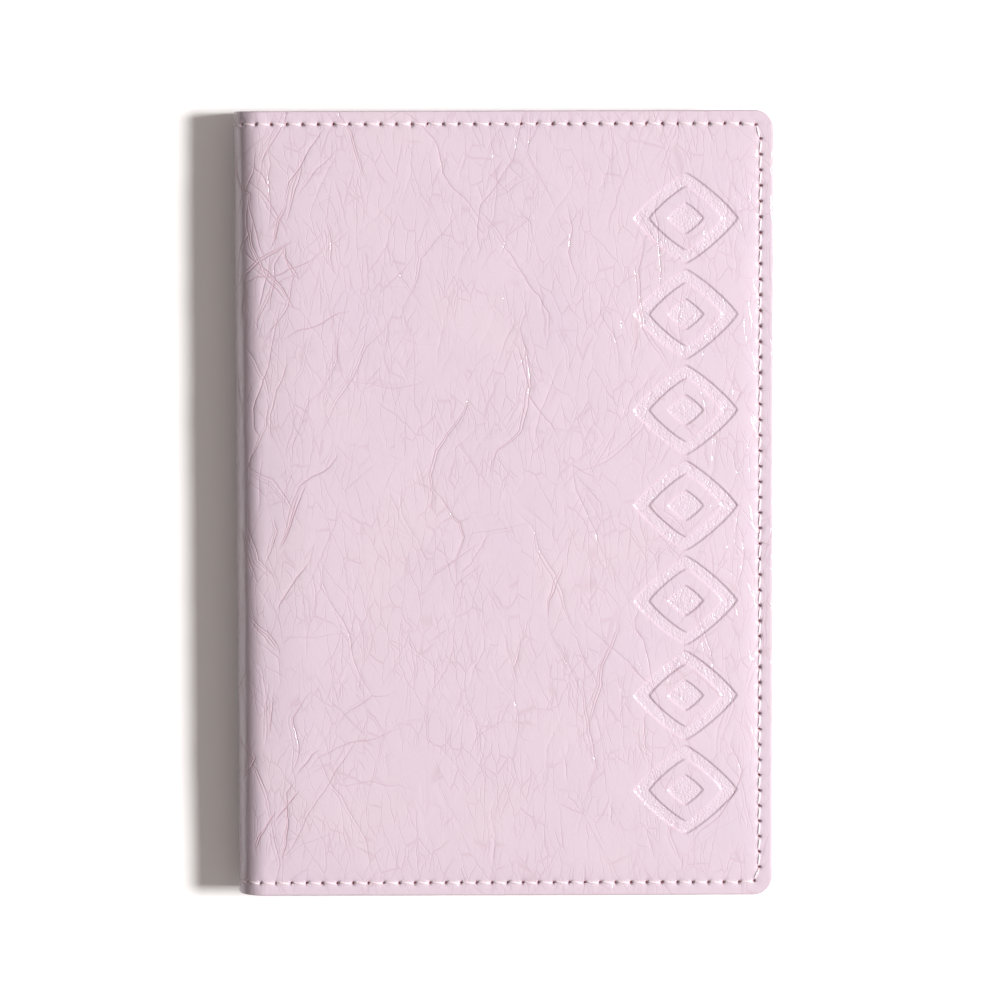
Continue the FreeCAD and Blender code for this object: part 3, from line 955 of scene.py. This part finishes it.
def stitches(name, rows, level, outward, radius, lift, lean, material, seed):
    """Stitches from hole to hole of each row; level(s, y) is the height of the face."""
    rng = np.random.default_rng(seed)
    verts, faces, places = [], [], []
    for row in rows:
        for a, b in zip(row[:-1, :2], row[1:, :2]):
            rings, place = stitch_tube(a, b, level, outward, radius, lift, lean, rng.uniform(0, math.tau))
            points, quads = swept(rings)
            start = len(verts) * len(points)
            verts.append(points)
            faces += [[start + i for i in f] for f in quads]
            places.append(place.reshape(-1, 3))
    return mesh_piece(name, np.concatenate(verts), faces, np.concatenate(places), material)


def mesh_piece(name, points, faces, places, material):
    """Smooth mesh object from points in millimetres, with its texture places."""
    mesh = bpy.data.meshes.new(name)
    mesh.from_pydata((points * MM).tolist(), [], faces)
    mesh.update()
    mesh.shade_smooth()
    set_vector(mesh, "flat", places)
    mesh.materials.append(material)
    obj = bpy.data.objects.new(name, mesh)
    bpy.context.scene.collection.objects.link(obj)
    return obj


def edge_path(side, inset=0.0):
    """Outline of one cover from the spine round the fore edge and back, with outward normals."""
    end = sheet_end - inset
    top = half_height - inset
    r = corner_radius - inset
    points, outward = [], []

    def run(start, stop, normal, step=0.6):
        line = densify(np.array([start, stop]), step)
        points.append(line)
        outward.append(np.broadcast_to(normal, line.shape))

    def corner(cx, cy, first):
        a = first + np.linspace(0, math.pi / 2, 15)[1:-1]
        ray = np.stack([np.cos(a), np.sin(a)], axis=1)
        points.append(np.array([cx, cy]) + r * ray)
        outward.append(ray)

    run((0.0, -top), (end - r, -top), (0.0, -1.0))
    corner(end - r, -top + r, -math.pi / 2)
    run((end, -top + r), (end, top - r), (1.0, 0.0))
    corner(end - r, top - r, 0.0)
    run((end - r, top), (0.0, top), (0.0, 1.0))
    points, outward = np.concatenate(points), np.concatenate(outward)
    return points * (side, 1.0), outward * (side, 1.0)


def edge_bead(name, side, material):
    """Painted edge: a rounded band that seals leather, lining and pocket panel."""
    path, outward = edge_path(side)
    inner = paint_width + 0.12
    depth = lining_depth + panel_thickness
    rng = np.random.default_rng(SEED + side)
    swell = waves(rng, 12, 4.0, 16.0)(path[:, 0], path[:, 1])
    profile = []
    for k in range(7):
        a = math.pi / 2 * k / 6
        profile.append((-0.22 + 0.22 * math.sin(a), 0.05 + 0.24 * (1 - math.cos(a))))
    for k in range(7):
        a = math.pi / 2 * k / 6
        profile.append((-0.22 + 0.22 * math.cos(a), depth - 0.24 + 0.24 * math.sin(a)))
    profile += [(-inner, depth), (-inner, 0.2)]
    rings = []
    for off, d in profile:
        wobble = 0.012 * swell * (off > -0.2)
        at = path + outward * (off + wobble - 0.03)[:, None]
        rings.append(wrap(at[:, 0], at[:, 1], d + 0.02 * swell))
    rings = np.stack(rings, axis=1)
    if side < 0:
        rings = rings[:, ::-1]
    points, faces = swept(rings)
    n, m, _ = rings.shape
    at = np.repeat(path, m, axis=0)
    across = np.tile(np.arange(m) * 0.2, n)
    obj = mesh_piece(name, points, faces, np.stack([at[:, 0], at[:, 1], across], axis=1), material)
    obj.data.set_sharp_from_angle(angle=math.radians(50))
    return obj


# Depth of the inside layers below the leather's base face -----------------------------------------

POCKET_SLACK = 0.5
THUMB_NOTCH = 11.0
SLOT_GAPE = 0.3                 # how far the mouth of each card slot stands off
CARD_HEIGHT = 54.0
CARD_SHOWS = 12.0               # how far a card stands out of its slot
RIM_WIDTH = 0.5                 # edge paint on the face beside an open edge
RIM_BLEED = 0.6                 # it fades out between the two
RIM_ROUND = 0.16
CREASED_LINE = 1.35             # line creased into the leather beside an open edge
CREASED_DEPTH = 0.1
CREASED_WIDTH = 0.18
MOUTH_LINES = (RIM_WIDTH, RIM_BLEED, 1.1, CREASED_LINE, 1.6)


def pocket_slack(s, y, open_s):
    """How far a pocket panel stands off the lining: sewn on three sides, open at open_s."""
    x = x_of_s(s)
    side = smooth((seam_x - 0.6 - x) / 3.0)
    ends = smooth((seam_y - 0.6 - np.abs(y)) / 3.0)
    mouth = np.exp(-((np.abs(s) - open_s) / 7.0) ** 2) * (1.0 - (y / half_height) ** 2)
    return side * ends * (POCKET_SLACK + 0.12 * mouth)


def paint_rim(obj, from_edge):
    """Marks the open edge of a pocket, its wall and a narrow band of its face, for edge paint."""
    flat = np.zeros(len(obj.data.vertices) * 3, np.float32)
    obj.data.attributes["flat"].data.foreach_get("vector", flat)
    s, y = flat.reshape(-1, 3)[:, :2].T
    set_value(obj.data, "rim", np.clip((RIM_BLEED - from_edge(s, y)) / (RIM_BLEED - RIM_WIDTH), 0.0, 1.0))


def mouth_shape(from_edge):
    """How far the face of a pocket stands back near its open edge: a rounded rim and a creased line."""
    rounding = RIM_ROUND * (1.0 - np.clip(from_edge / RIM_WIDTH, 0.0, 1.0)) ** 2
    return rounding + CREASED_DEPTH * np.exp(-((from_edge - CREASED_LINE) / CREASED_WIDTH) ** 2)


def pocket_panel(name, side, open_x, notch, material):
    """Panel sewn on three sides, with a free edge at open_x and a half-round notch in it."""
    open_s = s_of_x(open_x)
    outline = sheet_outline(paint_width, open_s, sheet_end - paint_width)
    top = half_height - paint_width - 0.3
    below = np.linspace(-top, -notch - 2.2 if notch else top, 150)
    arc = np.linspace(-math.pi / 2, math.pi / 2, 60)
    lines = []
    for off in MOUTH_LINES:
        lines.append(np.stack([np.full(150, open_s + off), below], axis=1))
        if notch:
            lines.append(lines[-1] * (1.0, -1.0))
            reach = notch + off
            lines.append(np.stack([open_s + reach * np.cos(arc), reach * np.sin(arc)], axis=1))
    if notch:
        outline = cut_notch(outline, open_s, notch)
    pattern, triangles = triangulate(outline, clipped_right(lines, open_s), grid_points(outline, 1.3))
    # The face that shows looks inwards, so it is the deeper one.
    pattern = pattern * (side, 1.0)
    if side > 0:
        triangles = triangles[:, ::-1]

    def from_edge(s, y):
        edge = np.abs(s) - open_s
        if notch:
            edge = np.minimum(np.where(np.abs(y) > notch, edge, half_width), np.hypot(edge, y) - notch)
        return edge

    def face(s, y):
        depth = lining_depth + panel_thickness + pocket_slack(s, y, open_s)
        return wrap(s, y, depth - mouth_shape(from_edge(s, y)))

    def under(s, y):
        return wrap(s, y, lining_depth + pocket_slack(s, y, open_s))

    obj, _ = closed_sheet(name, pattern, triangles, face, under)
    obj.data.materials.append(material)
    paint_rim(obj, from_edge)
    return obj


def clipped_right(lines, first):
    """The parts of the lines that lie right of first."""
    parts = [line[line[:, 0] > first + 0.05] for line in lines]
    return [part for part in parts if len(part) > 1]


def cut_notch(outline, open_s, radius):
    """Half-round thumb notch in the free edge at s=open_s, which the outline runs down."""
    on_edge = (np.abs(outline[:, 0] - open_s) < 1e-6) & (np.abs(outline[:, 1]) < radius + 0.2)
    cut = np.flatnonzero(on_edge)
    a = np.linspace(math.pi / 2, -math.pi / 2, 61)
    arc = np.stack([open_s + radius * np.cos(a), radius * np.sin(a)], axis=1)
    return np.concatenate([outline[:cut[0]], arc, outline[cut[-1] + 1:]])


def card_slot(name, low, high, layer, panel_s, material):
    """Card slot on the front pocket panel, open at the top and gaping a little there."""
    first, last = s_of_x(low[0]), s_of_x(high[0])
    top, bottom = high[1], low[1]
    r = corner_radius - (half_width - high[0])
    a = np.linspace(-math.pi / 2, 0, 9)
    points = [(first, top), (first, bottom)]
    points += [(last - r + r * math.cos(t), bottom + r + r * math.sin(t)) for t in a]
    points += [(last, top)]
    outline = densify(np.array(points + points[:1]), 0.6)[:-1]
    along = np.linspace(first + 0.3, last - 0.3, 150)
    up = np.linspace(bottom + 0.3, top - 0.3, 100)
    lines = []
    for off in MOUTH_LINES:
        lines.append(np.stack([along, np.full(150, top - off)], axis=1))
    for off in MOUTH_LINES[:2]:
        lines.append(np.stack([np.full(100, first + off), up], axis=1))
    pattern, triangles = triangulate(outline, lines, grid_points(outline, 1.3))
    triangles = triangles[:, ::-1]
    base = lining_depth + panel_thickness * layer

    def slack(s, y):
        ends = smooth((s - first) / 9) * smooth((last - s) / 9)
        gape = SLOT_GAPE * layer * np.exp(-((top - y) / 5.0) ** 2) * ends
        return pocket_slack(s, y, panel_s) + gape

    def face(s, y):
        return wrap(s, y, base + panel_thickness + slack(s, y) - mouth_shape(top - y))

    def under(s, y):
        return wrap(s, y, base + slack(s, y) + 0.01)

    obj, _ = closed_sheet(name, pattern, triangles, face, under)
    obj.data.materials.append(material)
    paint_rim(obj, lambda s, y: np.minimum(top - y, s - first))
    return obj


def lining_pieces(material):
    end = sheet_end - paint_width
    outline = sheet_outline(paint_width, -end, end)
    top = outline[:, 1].max()
    middle = np.stack([np.zeros(150), np.linspace(-top, top, 150)], axis=1)
    fold_lines = [middle]
    for s in np.arange(0.6, fold_length + 2.0, 0.6):
        for sign in (-1, 1):
            fold_lines.append(middle[1:-1] + (sign * s, 0.0))
    pattern, triangles = triangulate(outline, fold_lines, grid_points(outline, 1.4))
    triangles = triangles[:, ::-1]
    wrinkle = waves(np.random.default_rng(SEED + 5), 18, 4.0, 12.0)

    def face(s, y):
        in_fold = smooth((fold_length + 3.0 - np.abs(s)) / 4.0)
        return wrap(s, y, lining_depth + 0.05 * in_fold * wrinkle(s * 1.5, y * 0.4))

    def under(s, y):
        return wrap(s, y, np.full_like(s, leather_depth))

    pieces = []
    for side, name in ((1, "front_lining_sheet"), (-1, "back_lining_sheet")):
        half = side_of(triangles, pattern, side)
        obj, _ = closed_sheet(name, pattern, half, face, under)
        obj.data.materials.append(material)
        bend_between(obj, side)
        node = "front_lining" if side > 0 else "back_lining"
        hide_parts(node, "spine_lining")
        pieces.append(obj)
    return pieces


def foam_pieces(material):
    """Foam sheet that fills the puffed leather."""
    gap = 0.04
    for side, node in ((1, "front_foam_padding"), (-1, "back_foam_padding")):
        body = "front_cover" if side > 0 else "back_cover"
        low, high = node_box(node)
        first, last = s_of_x(low[0]), s_of_x(high[0])
        top = high[1]
        corners = np.array([(first, -top), (last, -top), (last, top), (first, top), (first, -top)])
        outline = densify(corners, 1.0)[:-1]
        pattern, triangles = triangulate(outline, [], grid_points(outline, 2.0))
        if side < 0:
            pattern, triangles = pattern * (-1.0, 1.0), triangles[:, ::-1]
        board = leather_depth - (puff - (high[2] - low[2])) + 0.1

        def face(s, y):
            lift = padding(s, y) - (MOTIF_DEPTH * motif_press(s, y) if side > 0 else 0.0)
            return wrap(s, y, leather_depth + gap - np.maximum(lift, puff - 0.1 - (high[2] - low[2])))

        def under(s, y):
            return wrap(s, y, np.full_like(s, board))

        obj, _ = closed_sheet(node + "_sheet", pattern, triangles, face, under)
        obj.data.materials.append(material)
        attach(obj, body)
        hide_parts(node)


def inside_level(side):
    """Height, negative inwards, of the visible inside face along the seam."""
    panel_s = s_of_x(panel_low[0] if side > 0 else back_panel_low[0])

    def level(s, y):
        a = np.abs(s)
        depth = np.full_like(a, lining_depth)
        depth += panel_thickness * smooth((a - panel_s + 0.6) / 0.5)
        if side > 0:
            on_slots = smooth((a - s_of_x(upper_slot_low[0]) + 0.6) / 0.5)
            depth += panel_thickness * on_slots * smooth((upper_slot_high[1] - y + 0.6) / 0.5)
            depth += panel_thickness * on_slots * smooth((lower_slot_high[1] - y + 0.6) / 0.5)
        return -depth

    return level


def seam_threads(thread, bobbin):
    """The upper thread outside and the bobbin thread inside, round both covers."""
    for side, cover in ((1, "front"), (-1, "back")):
        holes = seam_holes(side)
        if side > 0:
            # The front cover's row also takes the stitches over the middle of the spine.
            over_spine = holes[[0, -1]] * (-1.0, 1.0, 1.0)
            holes = np.concatenate([over_spine[:1], holes, over_spine[1:]])
        lean = THREAD_LEAN * side
        outside = stitches(
            cover + "_seam_thread", [holes], thread_bed, 1, THREAD_RADIUS, THREAD_LIFT, lean, thread, SEED,
        )
        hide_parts(cover + "_seam_stitches", "spine_seam_stitches")
        inside = stitches(
            cover + "_bobbin_thread", [holes], inside_level(side), -1, BOBBIN_RADIUS, BOBBIN_LIFT, -lean,
            bobbin, SEED + 1,
        )
        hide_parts(cover + "_seam_inner_stitches", "spine_seam_inner_stitches")
        for obj in (outside, inside):
            bend_between(obj, side)


def thread_bed(s, y):
    """Height of the outer leather along the seam, without its needle holes."""
    return padding(s, y) - SEAM_PULL - 0.02


def straight_row(start, stop):
    """Needle holes along a straight line at about the stitch pitch."""
    start, stop = np.array(start), np.array(stop)
    count = round(np.linalg.norm(stop - start) / stitch_pitch)
    return start + (stop - start) * np.linspace(0.0, 1.0, count + 1)[:, None]


def pocket_threads(bobbin):
    """Row along the back pocket's free edge, and the two seams of the card slots."""
    edge_s = -s_of_x((edge_row_low[0] + edge_row_high[0]) / 2)
    open_s = s_of_x(back_panel_low[0])
    notch = THUMB_NOTCH + seam_inset

    def on_back_pocket(s, y):
        return -lining_depth - panel_thickness - pocket_slack(s, y, open_s)

    rows = [straight_row((edge_s, end), (edge_s, sign * notch))
            for sign, end in ((-1, edge_row_low[1]), (1, edge_row_high[1]))]
    edge = stitches(
        "back_pocket_thread", rows, on_back_pocket, -1,
        BOBBIN_RADIUS, BOBBIN_LIFT, THREAD_LEAN, bobbin, SEED + 2,
    )
    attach(edge, "back_cover")
    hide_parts("back_pocket_edge_stitches")

    seam_s = s_of_x(slot_row_low[0] + (edge_row_high[0] - edge_row_low[0]) / 2)
    last_s = s_of_x(slot_row_high[0])
    floor_y = upper_slot_high[1] + CARD_SHOWS - CARD_HEIGHT
    panel_s = s_of_x(panel_low[0])

    def on_slots(s, y):
        on_lower = smooth((lower_slot_high[1] - y + 0.3) / 0.3) * (s < seam_s + stitch_pitch / 2)
        return -lining_depth - panel_thickness * (2.0 + on_lower) - pocket_slack(s, y, panel_s)

    rows = [
        straight_row((seam_s, slot_row_low[1]), (seam_s, slot_row_high[1])),
        straight_row((seam_s + stitch_pitch, floor_y), (last_s, floor_y)),
    ]
    slots = stitches(
        "card_slot_thread", rows, on_slots, -1, BOBBIN_RADIUS, BOBBIN_LIFT, THREAD_LEAN, bobbin, SEED + 3,
    )
    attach(slots, "front_cover")
    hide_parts("card_slot_stitches")


def edge_beads(material):
    for side in (1, -1):
        cover = "front" if side > 0 else "back"
        obj = edge_bead(cover + "_edge_bead", side, material)
        bend_between(obj, side)
        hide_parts(cover + "_edge_paint", "spine_edge_paint")


def pockets(material):
    front = pocket_panel("front_pocket", 1, panel_low[0], 0.0, material)
    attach(front, "front_cover")
    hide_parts("front_pocket_panel")
    back = pocket_panel("back_pocket", -1, back_panel_low[0], THUMB_NOTCH, material)
    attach(back, "back_cover")
    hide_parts("back_pocket_panel")
    panel_s = s_of_x(panel_low[0])
    upper = card_slot("upper_slot", upper_slot_low, upper_slot_high, 1, panel_s, material)
    lower = card_slot("lower_slot", lower_slot_low, lower_slot_high, 2, panel_s, material)
    for obj, node in ((upper, "upper_card_slot"), (lower, "lower_card_slot")):
        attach(obj, "front_cover")
        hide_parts(node)


# --- Stage ------------------------------------------------------------------------------------------


FLOOR_REACH = 4.0
FLOOR_FADE = (0.25, 0.7)        # distances between which the floor turns pure white
FLOOR_GAP = 0.0001              # below the holder
KEY_DISTANCE = 2.3
KEY_SIZE = 0.5
KEY_POWER = 83.4
KEY_AZIMUTH = math.radians(3)
KEY_ELEVATION = math.radians(43.5)
FILL_BRIGHTEST = 0.7
FILL_DARKEST = 0.02
FILL_COLOUR = (1.0, 0.89, 0.83, 1.0)
FILL_LEAN = math.radians(15)
FILL_NARROWNESS = 2.0
WALL_BRIGHTNESS = 0.3
WALL_START = -0.45              # how far to the left a direction points, where the wall begins
WALL_END = 0.0
FLAG_START = 0.085              # left of the middle
FLAG_END = 0.11
CAMERA_DISTANCE = 0.8
CAMERA_VIEW_WIDTH = 0.18195     # at the holder's top face
CAMERA_TILT = math.radians(4.4)
CAMERA_ROLL = math.radians(-0.15)


def floor_paper():
    """White paper, dark left of the view for all but the camera, and pure white far away."""
    n = Nodes("studio_floor")
    place = n.add("ShaderNodeTexCoord").outputs["Object"]
    paper = n.mix_colour(n.noise(place, 3.0).outputs["Fac"], rgb(0.89, 0.89, 0.89), rgb(0.91, 0.91, 0.91))
    x = n.add("ShaderNodeSeparateXYZ", {0: place}).outputs["X"]
    seen = n.add("ShaderNodeLightPath").outputs["Is Camera Ray"]
    unseen = n.maths("SUBTRACT", 1.0, seen)
    far = n.ramp(n.add("ShaderNodeVectorMath", {0: place}, operation="LENGTH").outputs["Value"], *FLOOR_FADE)
    flagged = n.maths("MULTIPLY", n.ramp(x, -FLAG_START, -FLAG_END), unseen)
    tone = n.mix_colour(flagged, paper, rgb(0.08, 0.08, 0.08))
    return n.finish(
        Base_Color=tone, Roughness=0.9, Specular_IOR_Level=0.1,
        Emission_Color=rgb(1.0, 1.0, 1.0), Emission_Strength=n.maths("MULTIPLY", far, seen),
    )


def stage():
    scene = bpy.context.scene
    floor_material = floor_paper()
    mesh = bpy.data.meshes.new("studio_floor")
    corners = [(x, y, -FLOOR_GAP) for x, y in ((-1, -1), (1, -1), (1, 1), (-1, 1))]
    mesh.from_pydata([(x * FLOOR_REACH, y * FLOOR_REACH, z) for x, y, z in corners], [], [(0, 1, 2, 3)])
    mesh.materials.append(floor_material)
    floor = bpy.data.objects.new("studio_floor", mesh)
    scene.collection.objects.link(floor)

    key = bpy.data.lights.new("key", "AREA")
    key.shape = "DISK"
    key.size = KEY_SIZE
    key.energy = KEY_POWER
    key.color = (1.0, 0.985, 0.98)
    light = bpy.data.objects.new("key", key)
    flat = KEY_DISTANCE * math.cos(KEY_ELEVATION)
    light.location = (
        flat * math.cos(KEY_AZIMUTH), flat * math.sin(KEY_AZIMUTH), KEY_DISTANCE * math.sin(KEY_ELEVATION),
    )
    light.rotation_euler = (0.0, math.pi / 2 - KEY_ELEVATION, KEY_AZIMUTH)
    scene.collection.objects.link(light)


def fill_light():
    """Soft light from above and a paler wall all round, but for the dark left side."""
    world = bpy.data.worlds.new("studio")
    n = WorldNodes(world)
    direction = n.add("ShaderNodeTexCoord").outputs["Generated"]
    lean = (math.sin(FILL_LEAN), 0.0, math.cos(FILL_LEAN))
    facing = n.add("ShaderNodeVectorMath", {0: direction, 1: lean}, operation="DOT_PRODUCT").outputs["Value"]
    lobe = n.maths("POWER", n.maths("MAXIMUM", facing, 0.0), FILL_NARROWNESS)
    overhead = n.ramp(lobe, 0.0, 1.0, FILL_DARKEST, FILL_BRIGHTEST)
    x = n.add("ShaderNodeSeparateXYZ", {0: direction}).outputs["X"]
    wall = n.ramp(x, WALL_START, WALL_END, 0.0, WALL_BRIGHTNESS)
    seen = n.add("ShaderNodeLightPath").outputs["Is Camera Ray"]
    strength = n.maths("MAXIMUM", n.maths("MAXIMUM", overhead, wall), seen)
    n.finish(Color=n.mix_colour(seen, FILL_COLOUR, rgb(1.0, 1.0, 1.0)), Strength=strength)
    scene = bpy.context.scene
    scene.world = world
    scene.view_settings.view_transform = "Standard"


def camera():
    """Nearly overhead, a little towards the top edge, as the photograph was taken."""
    data = bpy.data.cameras.new("camera")
    data.lens = data.sensor_width * CAMERA_DISTANCE / CAMERA_VIEW_WIDTH
    data.shift_x = -0.0030
    data.shift_y = 0.0062
    obj = bpy.data.objects.new("camera", data)
    target = np.array([0.0, 0.0, holder_top * MM])
    back = np.array([0.0, math.sin(CAMERA_TILT), math.cos(CAMERA_TILT)])
    obj.location = target + CAMERA_DISTANCE * back
    obj.rotation_euler = (-CAMERA_TILT, 0.0, CAMERA_ROLL)
    bpy.context.scene.collection.objects.link(obj)
    bpy.context.scene.camera = obj


# --- Build ----------------------------------------------------------------------------------------


def dress_hidden_nodes():
    board = board_material()
    for name in ("front_stiffener_board", "back_stiffener_board", "spine_reinforcement"):
        set_material(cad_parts[name], board)


def set_material(obj, material):
    obj.data.materials.clear()
    obj.data.materials.append(material)


def build():
    surface = LeatherSurface()
    leather_pieces(surface, patent_leather())
    lining_pieces(grained_leather("lining_leather", rgb(0.54, 0.40, 0.47), rgb(0.57, 0.43, 0.49), 2.4))
    pockets(grained_leather("pocket_leather", rgb(0.57, 0.425, 0.495), rgb(0.60, 0.455, 0.515), 1.9))
    foam_pieces(foam_material())
    thread = thread_material("seam_thread", rgb(0.84, 0.74, 0.78), rgb(0.70, 0.57, 0.63))
    bobbin = thread_material("bobbin_thread", rgb(0.80, 0.64, 0.69), rgb(0.68, 0.50, 0.56))
    seam_threads(thread, bobbin)
    pocket_threads(bobbin)
    edge_beads(edge_coat())
    dress_hidden_nodes()


build()
stage()
fill_light()
camera()
